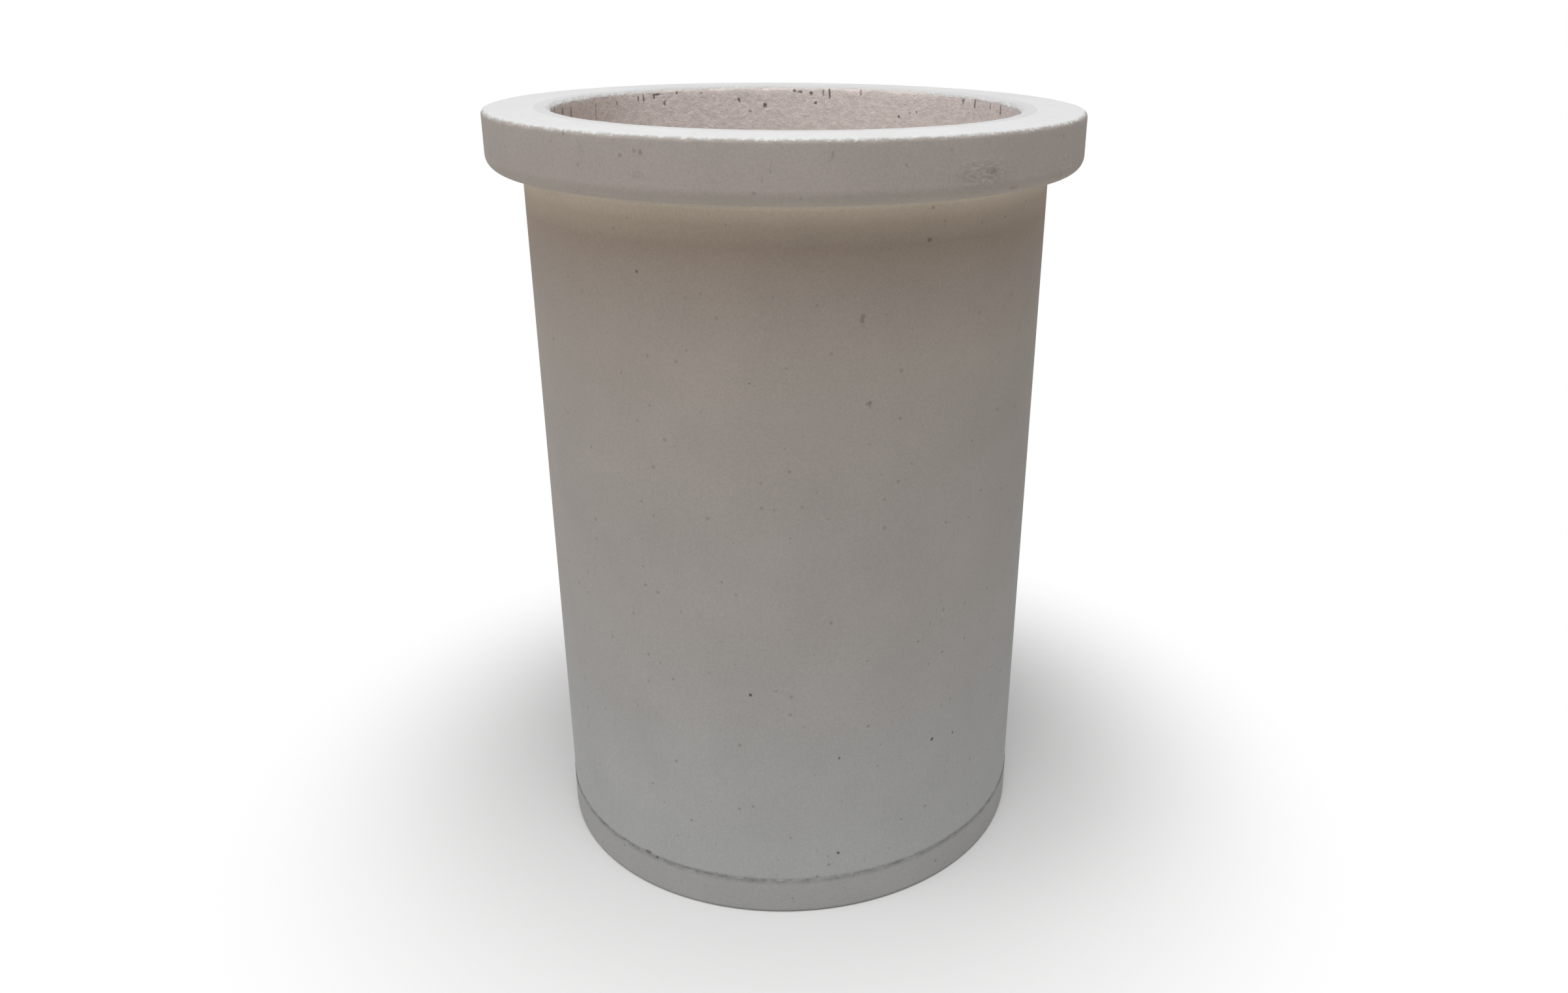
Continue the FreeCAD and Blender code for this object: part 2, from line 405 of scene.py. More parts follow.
def pot_tree(material):
    """The Geometry Nodes tree of the pot: turn the section, wear it, and give it its material."""
    tree = bpy.data.node_groups.new("turned_and_worn_pot", "GeometryNodeTree")
    sockets = tree.interface
    sockets.new_socket("Section", in_out="INPUT", socket_type="NodeSocketGeometry")
    for name, value in RELIEF.items():
        kind = "NodeSocketInt" if isinstance(value, int) else "NodeSocketFloat"
        sockets.new_socket(name, in_out="INPUT", socket_type=kind)
    sockets.new_socket("Pot", in_out="OUTPUT", socket_type="NodeSocketGeometry")
    given = add(tree, "NodeGroupInput").outputs
    surface = turned_surface(tree, given)
    surface, followed = worn_surface(tree, given, surface)
    for name, value in followed.items():
        surface = add(tree, "GeometryNodeStoreNamedAttribute",
                      {"Geometry": surface, "Name": name, "Value": value})
    surface = add(tree, "GeometryNodeSetShadeSmooth", {"Geometry": surface})
    surface = add(tree, "GeometryNodeRealizeInstances", {"Geometry": surface})
    surface = add(tree, "GeometryNodeSetMaterial", {"Geometry": surface, "Material": material})
    add(tree, "NodeGroupOutput", {"Pot": surface})
    return tree


# ---------------------------------------------------------------- material

# Colour of the skin at each share of the pot's height, from the foot up to the collar. Low on the
# wall it is greyer, and lighter partly as painted light bounced up from the floor. From 0.82 up it
# turns warmer, with a light cream band at 0.90 to 0.93 just under the collar: painted bounce light
# from the collar's underside, lifting the shade there.
SKIN_AND_BOUNCE_LIGHT = [
    (0.000, "#B9B9B9"),
    (0.056, "#B9B9B9"),
    (0.200, "#B5B4B2"),
    (0.400, "#B2ACA8"),
    (0.600, "#B0A8A3"),
    (0.740, "#AEA59C"),
    (0.820, "#A89C93"),
    (0.875, "#AB9B8D"),
    # Painted bounce light from here up: warmer, with a light cream band just under the collar.
    (0.900, "#BDAE9D"),
    (0.918, "#DACDBC"),
    (0.930, "#BAB1A8"),
    (0.950, "#B2A8A1"),
    (1.000, "#B4ABA4"),
]

# The other finishes: rubbed top face, made lighter also by painted light from above, foot band,
# cavity, made lighter also by painted light through the mouth, its darker and browner left side,
# pits and smudges.
# Near white of the top face: partly rubbed chalk, partly painted light, lit from above and so
# lighter than the shaded sides.
CHALK_AND_TOP_LIGHT = "#E4E5E4"
BAND = "#B2B1B0"
# Cavity: its real pinker tone, lightened as painted light falling through the mouth onto the far
# wall.
CAVITY_AND_PAINTED_LIGHT = "#EDE2DD"
CAVITY_LEFT_TAN = "#9A8470"
PIT = "#5A514B"
SMUDGE = "#948B84"

SILICA_IOR = 1.46

# Length of each pattern in the material.
COLOUR_DRIFT = 70 * MM
CLOUDS = 55 * MM
GRAIN = 1.6 * MM
SEAM_SHADE_PATCHES = 7 * MM
SCALE_FLAKES = 3.4 * MM
PITTING = 5 * MM
CHALK_SPILL = 4 * MM
RAGGED_EDGE = 2.2 * MM

# Scattered spots: how far apart their cells are, the largest spot, and the share of cells with one.
PINHOLES = (22 * MM, 0.9 * MM, 0.4)
SMUDGES = (8 * MM, 1.6 * MM, 0.85)
CAVITY_PITS = (9 * MM, 0.9 * MM, 0.35)

# Fine bump: how high each pattern stands, or how deep it lies where negative.
GRAIN_HEIGHT = 0.12 * MM
CAVITY_HEIGHT = 1.4 * MM
DRIP_HEIGHT = -0.5 * MM
PIT_HEIGHT = -0.4 * MM
CHALK_HEIGHT = 0.5 * MM
SCALE_HEIGHT = 1.2 * MM

# How far the skin's bands waver, how strongly the spots show, and the least and most painted shade
# in the parting line.
DRIFT_REACH = 12 * MM
SMUDGE_STRENGTH = 0.65
PINHOLE_STRENGTH = 0.55
CAVITY_PIT_STRENGTH = 0.35
SEAM_SHADE_STRENGTH = (0.25, 0.62)

# How far the chalk spills over an edge, least and most, and where the cavity's darker and browner
# left side starts and is strongest.
CHALK_REACH = (0.7 * MM, 3.2 * MM)
CAVITY_TAN_REACH = (-95 * MM, -150 * MM)
CAVITY_TAN_STRENGTH = 0.35

# Marks on the outside: azimuth, height, half width, half height, strength.
OUTER_MARKS = [
    (-23.4, 490 * MM, 1.0 * MM, 1.4 * MM, 0.36),
    (-34.9, 488 * MM, 2.8 * MM, 6.4 * MM, 0.07),
    (-66.0, 478 * MM, 2.0 * MM, 4.8 * MM, 0.13),
    (-24.3, 478 * MM, 4.8 * MM, 2.4 * MM, 0.1),
    (-2.7, 485 * MM, 0.8 * MM, 3.6 * MM, 0.13),
    (-4.0, 478 * MM, 0.6 * MM, 3.6 * MM, 0.15),
    (-5.3, 471.5 * MM, 1.0 * MM, 1.2 * MM, 0.24),
    (6.8, 491.5 * MM, 0.8 * MM, 2.4 * MM, 0.24),
    (18.6, 484.5 * MM, 1.0 * MM, 1.2 * MM, 0.3),
    (35.2, 478.5 * MM, 4.4 * MM, 1.8 * MM, 0.27),
    (41.1, 467.5 * MM, 4.0 * MM, 1.3 * MM, 0.21),
    (56.2, 469.5 * MM, 0.8 * MM, 1.9 * MM, 0.3),
    (-30.0, 420.5 * MM, 1.0 * MM, 1.0 * MM, 0.7),
    (27.5, 439 * MM, 1.4 * MM, 1.6 * MM, 0.5),
    (13.9, 396.5 * MM, 1.5 * MM, 3.0 * MM, 0.4),
    (15.7, 346.5 * MM, 1.8 * MM, 2.2 * MM, 0.5),
    (-8.8, 160.5 * MM, 1.0 * MM, 1.0 * MM, 0.9),
    (33.5, 109.5 * MM, 1.1 * MM, 1.2 * MM, 0.9),
    (40.1, 107 * MM, 0.8 * MM, 0.8 * MM, 0.7),
    (10.4, 113.5 * MM, 0.9 * MM, 0.9 * MM, 0.7),
    (10.4, 42.5 * MM, 1.0 * MM, 1.0 * MM, 0.9),
    (-36.1, 25.5 * MM, 2.5 * MM, 1.2 * MM, 0.6),
    (-33.4, 24 * MM, 1.6 * MM, 1.0 * MM, 0.7),
]

# Drips and pits below the rim in the cavity: azimuth from the back, and the rest as above.
INNER_MARKS = [
    (-46.0, 494 * MM, 0.8 * MM, 3.0 * MM, 0.75),
    (-44.2, 493.5 * MM, 0.7 * MM, 3.0 * MM, 0.75),
    (-39.5, 496 * MM, 4.0 * MM, 0.9 * MM, 0.85),
    (-40.6, 495 * MM, 0.8 * MM, 2.0 * MM, 0.85),
    (-33.1, 496.5 * MM, 0.9 * MM, 1.0 * MM, 0.9),
    (-37.3, 489.5 * MM, 1.4 * MM, 1.6 * MM, 0.7),
    (-54.0, 491.5 * MM, 0.9 * MM, 1.2 * MM, 0.5),
    (-25.5, 495.5 * MM, 0.8 * MM, 0.9 * MM, 0.6),
    (-14.2, 489.5 * MM, 1.1 * MM, 1.5 * MM, 0.9),
    (-6.8, 485.5 * MM, 1.5 * MM, 1.5 * MM, 0.9),
    (-11.0, 481 * MM, 1.0 * MM, 1.2 * MM, 0.5),
    (1.9, 496.5 * MM, 1.4 * MM, 1.2 * MM, 0.8),
    (3.6, 495.5 * MM, 2.2 * MM, 1.0 * MM, 0.7),
    (6.8, 495 * MM, 1.0 * MM, 1.4 * MM, 0.8),
    (8.2, 487.5 * MM, 1.0 * MM, 1.2 * MM, 0.9),
    (10.4, 495 * MM, 0.8 * MM, 2.4 * MM, 0.7),
    (12.2, 495 * MM, 0.9 * MM, 3.4 * MM, 0.85),
    (21.5, 497 * MM, 0.8 * MM, 3.0 * MM, 0.6),
    (33.7, 479.5 * MM, 0.9 * MM, 1.1 * MM, 0.8),
    (37.1, 483 * MM, 0.8 * MM, 0.9 * MM, 0.6),
    (39.5, 484 * MM, 0.8 * MM, 0.9 * MM, 0.6),
    (56.7, 495 * MM, 1.4 * MM, 2.6 * MM, 0.7),
    (61.8, 494.5 * MM, 1.0 * MM, 3.6 * MM, 0.8),
    (69.4, 494 * MM, 0.9 * MM, 3.0 * MM, 0.6),
    (75.6, 493 * MM, 1.4 * MM, 3.4 * MM, 0.7),
    (-63.0, 489 * MM, 0.9 * MM, 9.0 * MM, 0.35),
    (-76.0, 490 * MM, 1.3 * MM, 5.0 * MM, 0.7),
    (-82.0, 492 * MM, 1.5 * MM, 5.0 * MM, 0.7),
    (-90.0, 493 * MM, 1.5 * MM, 5.0 * MM, 0.7),
]


def shader_place(tree):
    """Position, height, radius, and the surface unrolled from the front and from the back."""
    position = add(tree, "ShaderNodeTexCoord").outputs["Object"]
    flat = add(tree, "ShaderNodeVectorMath", {0: position, 1: (1, 1, 0)}, operation="MULTIPLY")
    radius = add(tree, "ShaderNodeVectorMath", {0: flat}, operation="LENGTH")
    split = add(tree, "ShaderNodeSeparateXYZ", {0: position})
    front = add(tree, "ShaderNodeMath", {0: split.outputs["Y"], 1: -1}, operation="MULTIPLY")
    return {"position": position, "radius": radius.outputs["Value"], "x": split.outputs["X"],
            "height": split.outputs["Z"], "front": front, "back": split.outputs["Y"]}


def marks(tree, place, ahead, spots):
    """Ragged spots: 0 where clear, up to each spot's own strength at its middle."""
    ragged = add(tree, "ShaderNodeTexNoise",
                 {"Vector": place["position"], "Scale": per(RAGGED_EDGE), "Detail": 2})
    ragged = add(tree, "ShaderNodeMapRange",
                 {"Value": ragged, "From Min": 0.3, "From Max": 0.7, "To Min": -0.5, "To Max": 0.5})
    azimuth = add(tree, "ShaderNodeMath", {0: place["x"], 1: ahead}, operation="ARCTAN2")
    around = add(tree, "ShaderNodeMath", {0: azimuth, 1: place["radius"]}, operation="MULTIPLY")
    total = 0
    for degrees, height, half_width, half_height, strength in spots:
        arc = add(tree, "ShaderNodeMath",
                  {0: place["radius"], 1: -math.radians(degrees), 2: around},
                  operation="MULTIPLY_ADD")
        rise = add(tree, "ShaderNodeMath", {0: place["height"], 1: height}, operation="SUBTRACT")
        offset = add(tree, "ShaderNodeCombineXYZ", {"X": arc, "Y": rise})
        offset = add(tree, "ShaderNodeVectorMath",
                     {0: offset, 1: (1 / half_width, 1 / half_height, 0)}, operation="MULTIPLY")
        reach = add(tree, "ShaderNodeVectorMath", {0: offset}, operation="LENGTH")
        reach = add(tree, "ShaderNodeMath", {0: reach.outputs["Value"], 1: ragged},
                    operation="ADD")
        spot = add(tree, "ShaderNodeMapRange",
                   {"Value": reach, "From Min": 0.6, "From Max": 1.2, "To Min": strength,
                    "To Max": 0})
        total = add(tree, "ShaderNodeMath", {0: total, 1: spot}, operation="MAXIMUM")
    return total


def scattered_spots(tree, place, spacing, largest, share):
    """Spots of mixed size strewn over the surface, on this share of cells this far apart."""
    cells = add(tree, "ShaderNodeTexVoronoi",
                {"Vector": place["position"], "Scale": per(spacing), "Randomness": 1})
    draw = add(tree, "ShaderNodeSeparateColor", {0: cells.outputs["Color"]})
    size = add(tree, "ShaderNodeMapRange",
               {"Value": draw.outputs["Red"], "From Min": 1 - share, "From Max": 1,
                "To Min": 0, "To Max": largest / spacing})
    gap = add(tree, "ShaderNodeMath", {0: cells.outputs["Distance"], 1: size},
              operation="SUBTRACT")
    return add(tree, "ShaderNodeMapRange",
               {"Value": gap, "From Min": 0, "From Max": -0.45 * largest / spacing})


def skin_and_bounce_light_by_height(tree, place):
    """Colour of the skin by height, in bands that waver a little, with painted bounce light under
    the collar and low on the wall, and that of the foot band.
    """
    drift = add(tree, "ShaderNodeTexNoise",
                {"Vector": place["position"], "Scale": per(COLOUR_DRIFT), "Detail": 3})
    drift = add(tree, "ShaderNodeMapRange",
                {"Value": drift, "To Min": -DRIFT_REACH, "To Max": DRIFT_REACH})
    middle = add(tree, "ShaderNodeMapRange",
                 {"Value": place["height"], "From Min": 40 * MM, "From Max": 120 * MM})
    below = add(tree, "ShaderNodeMapRange",
                {"Value": place["height"], "From Min": UNDERSIDE - 20 * MM,
                 "From Max": UNDERSIDE - 60 * MM})
    drift = add(tree, "ShaderNodeMath", {0: drift, 1: middle}, operation="MULTIPLY")
    drift = add(tree, "ShaderNodeMath", {0: drift, 1: below}, operation="MULTIPLY")
    level = add(tree, "ShaderNodeMath", {0: place["height"], 1: drift}, operation="ADD")
    level = add(tree, "ShaderNodeMath", {0: level, 1: TOP}, operation="DIVIDE")
    skin = add(tree, "ShaderNodeValToRGB", {"Fac": level})
    stops = skin.color_ramp.elements
    stops[0].position, stops[0].color = SKIN_AND_BOUNCE_LIGHT[0][0], linear(SKIN_AND_BOUNCE_LIGHT[0][1])
    stops[1].position, stops[1].color = SKIN_AND_BOUNCE_LIGHT[-1][0], linear(SKIN_AND_BOUNCE_LIGHT[-1][1])
    for share, code in SKIN_AND_BOUNCE_LIGHT[1:-1]:
        stops.new(share).color = linear(code)

    band = add(tree, "ShaderNodeAttribute", attribute_name="band").outputs["Fac"]
    skin = add(tree, "ShaderNodeMix", {"Factor": band, "A": skin.outputs["Color"],
                                       "B": linear(BAND)}, data_type="RGBA")
    return skin


def skin_tone(tree, place):
    """How light the skin is: clouds, grain, painted shade in the parting line, and flakes of scale
    with painted highlight and shade.
    """
    # Clouds, and a fine grain drawn coarser than the real one, which is too fine to show.
    clouds = add(tree, "ShaderNodeTexNoise",
                 {"Vector": place["position"], "Scale": per(CLOUDS), "Detail": 4,
                  "Roughness": 0.55})
    clouds = add(tree, "ShaderNodeMapRange",
                 {"Value": clouds, "From Min": 0.3, "From Max": 0.7, "To Min": 0.955,
                  "To Max": 1.03})
    grain = add(tree, "ShaderNodeTexNoise",
                {"Vector": place["position"], "Scale": per(GRAIN), "Detail": 3,
                 "Roughness": 0.7})
    grain_tone = add(tree, "ShaderNodeMapRange",
                     {"Value": grain, "From Min": 0.3, "From Max": 0.7, "To Min": 0.925,
                      "To Max": 1.075})
    tone = add(tree, "ShaderNodeMath", {0: clouds, 1: grain_tone}, operation="MULTIPLY")

    # Painted shade in the ledge of the parting line, thick in some places and thin in others.
    line = add(tree, "ShaderNodeAttribute", attribute_name="parting").outputs["Fac"]
    seam_shade = add(tree, "ShaderNodeTexNoise",
                    {"Vector": place["position"], "Scale": per(SEAM_SHADE_PATCHES), "Detail": 4,
                     "Roughness": 0.7})
    seam_shade = add(tree, "ShaderNodeMapRange",
                    {"Value": seam_shade, "From Min": 0.35, "From Max": 0.65,
                     "To Min": SEAM_SHADE_STRENGTH[0], "To Max": SEAM_SHADE_STRENGTH[1]})
    seam_shade = add(tree, "ShaderNodeMath", {0: seam_shade, 1: line}, operation="MULTIPLY")
    line_tone = add(tree, "ShaderNodeMath", {0: 1, 1: seam_shade}, operation="SUBTRACT")
    tone = add(tree, "ShaderNodeMath", {0: tone, 1: line_tone}, operation="MULTIPLY")

    # Flakes in the patches of scale, some lighter than the skin and some darker: real flakes, with
    # painted highlight and shade on their lifted edges.
    lying = add(tree, "ShaderNodeVectorMath", {0: place["position"], 1: (1, 1, 2.4)},
                operation="MULTIPLY")
    flaky = add(tree, "ShaderNodeTexNoise",
                {"Vector": lying, "Scale": per(SCALE_FLAKES), "Detail": 2, "Roughness": 0.6})
    flaky = add(tree, "ShaderNodeMapRange",
                {"Value": flaky, "From Min": 0.38, "From Max": 0.62, "To Min": -0.14,
                 "To Max": 0.16})
    flaky = add(tree, "ShaderNodeMath", {0: flaky, 1: scale_mask(tree, place["position"])},
                operation="MULTIPLY")
    flaky = add(tree, "ShaderNodeMath", {0: flaky, 1: 1}, operation="ADD")
    tone = add(tree, "ShaderNodeMath", {0: tone, 1: flaky}, operation="MULTIPLY")
    return tone, clouds, grain


def blemished(tree, place, skin):
    """The skin with grey smudges, pinholes and the marks that this pot has, and those marks."""
    pinholes = scattered_spots(tree, place, *PINHOLES)
    smudges = scattered_spots(tree, place, *SMUDGES)
    smudge_tone = add(tree, "ShaderNodeMath", {0: smudges, 1: SMUDGE_STRENGTH},
                      operation="MULTIPLY")
    skin = add(tree, "ShaderNodeMix", {"Factor": smudge_tone, "A": skin, "B": linear(SMUDGE)},
               data_type="RGBA")
    pin_tone = add(tree, "ShaderNodeMath", {0: pinholes, 1: PINHOLE_STRENGTH},
                   operation="MULTIPLY")
    own = marks(tree, place, place["front"], OUTER_MARKS)
    own = add(tree, "ShaderNodeMath", {0: own, 1: pin_tone}, operation="MAXIMUM")
    skin = add(tree, "ShaderNodeMix", {"Factor": own, "A": skin, "B": linear(PIT)},
               data_type="RGBA")
    return skin, own


def cavity_colour(tree, place):
    """Colour of the cavity, pinker, pitted, lightened by painted light through the mouth and darker
    and browner on its left, its pitting and its dirt.
    """
    pitting = add(tree, "ShaderNodeTexNoise",
                  {"Vector": place["position"], "Scale": per(PITTING), "Detail": 5,
                   "Roughness": 0.75})
    pit_tone = add(tree, "ShaderNodeMapRange",
                   {"Value": pitting, "From Min": 0.3, "From Max": 0.7, "To Min": 0.84,
                    "To Max": 1.1})
    # The cavity's base colour carries painted light falling through the mouth.
    cavity = add(tree, "ShaderNodeVectorMath", {0: linear(CAVITY_AND_PAINTED_LIGHT)[:3], "Scale": pit_tone},
                 operation="SCALE")
    drips = marks(tree, place, place["back"], INNER_MARKS)
    inner_pits = scattered_spots(tree, place, *CAVITY_PITS)
    inner_pits = add(tree, "ShaderNodeMath", {0: inner_pits, 1: CAVITY_PIT_STRENGTH},
                     operation="MULTIPLY")
    dirt = add(tree, "ShaderNodeMath", {0: drips, 1: inner_pits}, operation="MAXIMUM")
    cavity = add(tree, "ShaderNodeMix", {"Factor": dirt, "A": cavity, "B": linear(PIT)},
                 data_type="RGBA")
    # The cavity turns darker and browner towards its left.
    tan_side = add(tree, "ShaderNodeMapRange",
                   {"Value": place["x"], "From Min": CAVITY_TAN_REACH[0], "From Max": CAVITY_TAN_REACH[1],
                    "To Min": 0, "To Max": CAVITY_TAN_STRENGTH}, interpolation_type="SMOOTHSTEP")
    cavity = add(tree, "ShaderNodeMix",
                 {"Factor": tan_side, "A": cavity, "B": linear(CAVITY_LEFT_TAN)}, data_type="RGBA")
    return cavity, pitting, dirt


def chalk_and_painted_top_light(tree, place, inside, clouds):
    """Chalk of the rubbed top face, lit also by painted light from above, and where it lies:
    raggedly over both edges too.
    """
    spill = add(tree, "ShaderNodeTexNoise",
                {"Vector": place["position"], "Scale": per(CHALK_SPILL), "Detail": 5,
                 "Roughness": 0.75})
    spill = add(tree, "ShaderNodeMapRange",
                {"Value": spill, "From Min": 0.45, "From Max": 0.8, "To Min": CHALK_REACH[0],
                 "To Max": CHALK_REACH[1]})
    sideways = add(tree, "ShaderNodeMath", {0: place["x"], 1: MOUTH_RADIUS}, operation="DIVIDE")
    sideways = add(tree, "ShaderNodeMath", {0: sideways}, operation="ABSOLUTE")
    sideways = add(tree, "ShaderNodeMapRange",
                   {"Value": sideways, "From Min": 0.6, "From Max": 1, "To Min": 1, "To Max": 3})
    deeper = add(tree, "ShaderNodeMix", {"Factor": inside, "A": 1.0, "B": sideways},
                 data_type="FLOAT")
    spill = add(tree, "ShaderNodeMath", {0: spill, 1: deeper}, operation="MULTIPLY")
    chalk_line = add(tree, "ShaderNodeMath", {0: TOP, 1: spill}, operation="SUBTRACT")
    over = add(tree, "ShaderNodeMath", {0: place["height"], 1: chalk_line},
               operation="SUBTRACT")
    chalk_and_top_light_mask = add(tree, "ShaderNodeMapRange",
                     {"Value": over, "From Min": -0.9 * MM, "From Max": 0.6 * MM})
    worn = add(tree, "ShaderNodeAttribute", attribute_name="wear").outputs["Fac"]
    worn = add(tree, "ShaderNodeMapRange", {"Value": worn, "From Min": 0.35, "From Max": 0.9})
    chalk_and_top_light_mask = add(tree, "ShaderNodeMath", {0: chalk_and_top_light_mask, 1: worn}, operation="MAXIMUM")
    chalk_tone = add(tree, "ShaderNodeMapRange",
                     {"Value": clouds, "From Min": 0.955, "From Max": 1.03, "To Min": 0.97,
                      "To Max": 1.02})
    chalk = add(tree, "ShaderNodeVectorMath", {0: linear(CHALK_AND_TOP_LIGHT)[:3], "Scale": chalk_tone},
                operation="SCALE")
    return chalk, chalk_and_top_light_mask


def silica_material():
    """Slip-cast fused silica, fired and unglazed: a matt, off-white skin with pinholes and stains.

    It gives the eye a dry, chalky body with no gloss, smooth, warmer below the collar with a light
    cream band just under it, which is painted bounce light; near white where the top face is rubbed
    and lit by painted light from above; and pinker, pitted and lightened by painted light in the
    cavity.
    """
    material = bpy.data.materials.new("slip_cast_fused_silica")
    material.use_nodes = True
    tree = material.node_tree
    shader = tree.nodes["Principled BSDF"]
    shader.inputs["IOR"].default_value = SILICA_IOR
    place = shader_place(tree)
    inside = inside_mask(tree, place)
    skin = skin_and_bounce_light_by_height(tree, place)
    tone, clouds, grain = skin_tone(tree, place)
    skin = add(tree, "ShaderNodeVectorMath", {0: skin, "Scale": tone}, operation="SCALE")

    skin, own = blemished(tree, place, skin)
    cavity, pitting, dirt = cavity_colour(tree, place)
    colour = add(tree, "ShaderNodeMix", {"Factor": inside, "A": skin, "B": cavity},
                 data_type="RGBA")

    # The top face's colour is rubbed chalk with painted light from above.
    chalk, chalk_and_top_light_mask = chalk_and_painted_top_light(tree, place, inside, clouds)
    colour = add(tree, "ShaderNodeMix", {"Factor": chalk_and_top_light_mask, "A": colour, "B": chalk},
                 data_type="RGBA")
    add_surface_detail(tree, shader, place, inside, chalk_and_top_light_mask, grain, pitting, own, dirt)
    tree.links.new(colour.outputs["Result"], shader.inputs["Base Color"])
    return material


def add_surface_detail(tree, shader, place, inside, chalk, grain, pitting, pits, dirt):
    """Roughness and fine bump. The heights are metres."""
    rough = add(tree, "ShaderNodeMapRange", {"Value": grain, "To Min": 0.8, "To Max": 1})
    height = add(tree, "ShaderNodeMath", {0: grain, 1: GRAIN_HEIGHT}, operation="MULTIPLY")
    outside = add(tree, "ShaderNodeMath", {0: 1, 1: inside}, operation="SUBTRACT")
    scale = scale_mask(tree, place["position"])
    parts = [
        (pitting, inside, CAVITY_HEIGHT),
        (dirt, inside, DRIP_HEIGHT),
        (pits, outside, PIT_HEIGHT),
        (pitting, chalk, CHALK_HEIGHT),
        (pitting, scale, SCALE_HEIGHT),
    ]
    for pattern, mask, depth in parts:
        kept = add(tree, "ShaderNodeMath", {0: pattern, 1: mask}, operation="MULTIPLY")
        height = add(tree, "ShaderNodeMath", {0: kept, 1: depth, 2: height},
                     operation="MULTIPLY_ADD")
    bump = add(tree, "ShaderNodeBump", {"Height": height, "Distance": 1, "Strength": 1})
    tree.links.new(rough.outputs["Result"], shader.inputs["Roughness"])
    tree.links.new(bump.outputs["Normal"], shader.inputs["Normal"])


# ---------------------------------------------------------------- pot

def make_pot():
    """Turn the half section into the worn pot, and put it in place of the CAD one."""
    rows = section_rows()
    chain = bpy.data.meshes.new("half_section")
    links = [(i, i + 1) for i in range(len(rows) - 1)]
    chain.from_pydata([(row.x, 0, row.y) for row in rows], links, [])
    pot = bpy.data.objects.new("crucible_skin", chain)
    bpy.context.scene.collection.objects.link(pot)

    tree = pot_tree(silica_material())
    modifier = pot.modifiers.new("turned_and_worn", "NODES")
    modifier.node_group = tree
    for item in tree.interface.items_tree:
        if item.in_out == "INPUT" and item.name in RELIEF:
            modifier[item.identifier] = RELIEF[item.name]
    evaluated = pot.evaluated_get(bpy.context.evaluated_depsgraph_get())
    mesh = bpy.data.meshes.new_from_object(evaluated)
    pot.modifiers.clear()
    pot.data = mesh
    bpy.data.meshes.remove(chain)
    mesh.name = "crucible_skin"

    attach(pot, "root")
    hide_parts("crucible")


# ---------------------------------------------------------------- stage

FLOOR_HALF_WIDTH = 6
FLOOR_COLOUR = "#DADAD8"
FLOOR_SEEN = "#F4F4F4"
FLOOR_FADE = (0.18, 0.42)  # distances between which the floor turns into the background
WORLD_LIGHT = 0.35
WORLD_SEEN = 1.0

LENS = 29.29
SENSOR_WIDTH = 36
SHIFT_X = -0.0480
SHIFT_Y = -0.0812
CAMERA_PLACE = (0, -0.8511, 0.5752)
YAW = 0.0570
PITCH = 0.2927
ROLL = 0.0102

# Round soft lamps: name, place, width, power.
LAMPS = [
    ("overhead", (0, -0.8, 2.6), 1.8, 37),
    ("left_softbox", (-2.2, -0.6, 1.3), 1.6, 9),
]
AIM_HEIGHT = 0.8 * TOP


def seen_ray(tree):
    """1 for rays that show the background: from the camera, a reflection or a refraction."""
    path = add(tree, "ShaderNodeLightPath").outputs
    seen = add(tree, "ShaderNodeMath", {0: path["Is Camera Ray"], 1: path["Is Glossy Ray"]},
               operation="MAXIMUM")
    return add(tree, "ShaderNodeMath", {0: seen, 1: path["Is Transmission Ray"]},
               operation="MAXIMUM")


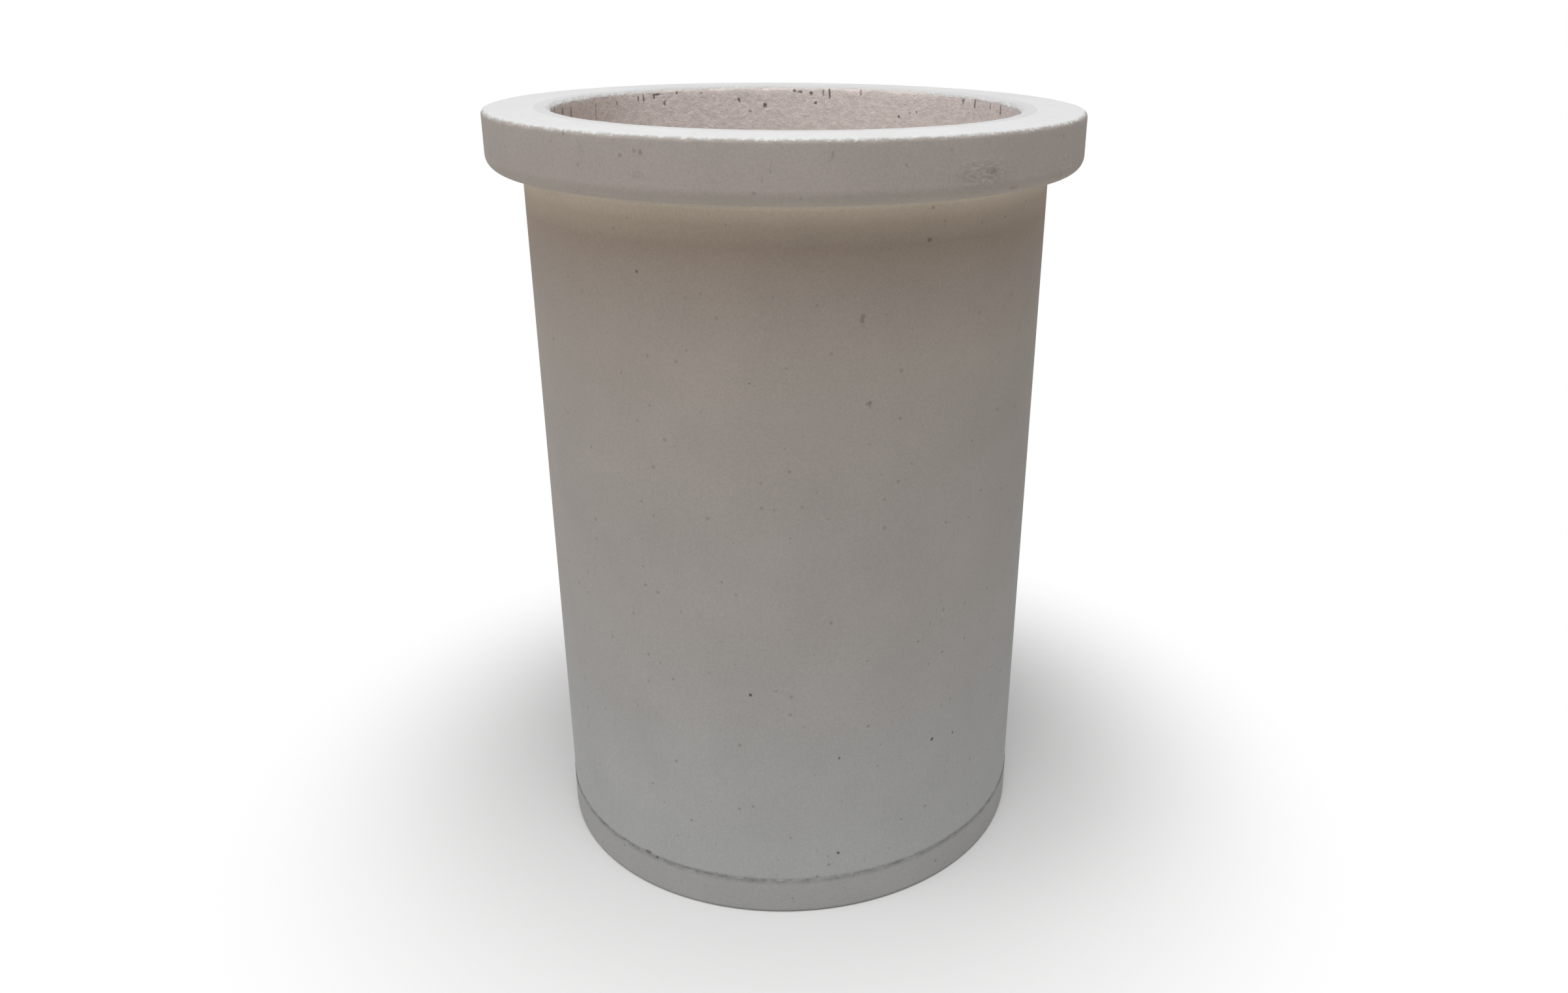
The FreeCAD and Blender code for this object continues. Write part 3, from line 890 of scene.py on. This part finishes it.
def make_floor():
    """A plain pale floor that runs out into the white background away from the pot."""
    mesh = bpy.data.meshes.new("floor")
    half = FLOOR_HALF_WIDTH
    mesh.from_pydata([(-half, -half, 0), (half, -half, 0), (half, half, 0), (-half, half, 0)],
                     [], [(0, 1, 2, 3)])
    floor = bpy.data.objects.new("floor", mesh)
    bpy.context.scene.collection.objects.link(floor)
    material = bpy.data.materials.new("pale_floor")
    material.use_nodes = True
    tree = material.node_tree
    tree.nodes.clear()
    seen = seen_ray(tree)
    colour = add(tree, "ShaderNodeMix",
                 {"Factor": seen, "A": linear(FLOOR_COLOUR), "B": linear(FLOOR_SEEN)},
                 data_type="RGBA")
    diffuse = add(tree, "ShaderNodeBsdfDiffuse", {"Color": colour})
    position = add(tree, "ShaderNodeTexCoord").outputs["Object"]
    distance = add(tree, "ShaderNodeVectorMath", {0: position}, operation="LENGTH")
    faded = add(tree, "ShaderNodeMapRange",
                {"Value": distance.outputs["Value"], "From Min": FLOOR_FADE[0],
                 "From Max": FLOOR_FADE[1]}, interpolation_type="SMOOTHSTEP")
    faded = add(tree, "ShaderNodeMath", {0: faded, 1: seen}, operation="MULTIPLY")
    white = add(tree, "ShaderNodeEmission", {"Color": (1, 1, 1, 1), "Strength": 1})
    surface = add(tree, "ShaderNodeMixShader", {0: faded, 1: diffuse, 2: white})
    add(tree, "ShaderNodeOutputMaterial", {"Surface": surface})
    mesh.materials.append(material)


def make_camera():
    """A camera in front of the pot, turned to the right by YAW and down by PITCH, in radians."""
    data = bpy.data.cameras.new("camera")
    data.lens = LENS
    data.sensor_width = SENSOR_WIDTH
    data.shift_x = SHIFT_X
    data.shift_y = SHIFT_Y
    camera = bpy.data.objects.new("camera", data)
    forward = Vector((math.sin(YAW) * math.cos(PITCH), math.cos(YAW) * math.cos(PITCH),
                      -math.sin(PITCH)))
    side = Vector((math.cos(YAW), -math.sin(YAW), 0))
    up = side.cross(forward)
    right = side * math.cos(ROLL) + up * math.sin(ROLL)
    above = up * math.cos(ROLL) - side * math.sin(ROLL)
    rotation = Matrix((right, above, -forward)).transposed()
    camera.matrix_world = Matrix.Translation(CAMERA_PLACE) @ rotation.to_4x4()
    bpy.context.scene.collection.objects.link(camera)
    bpy.context.scene.camera = camera


def make_lamp(name, location, size, power):
    """A round soft lamp aimed at the upper part of the pot."""
    data = bpy.data.lights.new(name, "AREA")
    data.shape = "DISK"
    data.size = size
    data.energy = power
    lamp = bpy.data.objects.new(name, data)
    lamp.location = location
    direction = Vector((0, 0, AIM_HEIGHT)) - lamp.location
    lamp.rotation_euler = direction.to_track_quat("-Z", "Y").to_euler()
    bpy.context.scene.collection.objects.link(lamp)


def make_lights():
    """A pale world, white where it is seen, and the lamps."""
    world = bpy.data.worlds.new("studio")
    bpy.context.scene.world = world
    world.use_nodes = True
    tree = world.node_tree
    tree.nodes.clear()
    strength = add(tree, "ShaderNodeMapRange",
                   {"Value": seen_ray(tree), "To Min": WORLD_LIGHT, "To Max": WORLD_SEEN})
    back = add(tree, "ShaderNodeBackground", {"Color": (1, 1, 1, 1), "Strength": strength})
    add(tree, "ShaderNodeOutputWorld", {"Surface": back})
    for name, location, size, power in LAMPS:
        make_lamp(name, location, size, power)


make_pot()
make_floor()
make_camera()
make_lights()
bpy.context.scene.view_settings.view_transform = "Standard"
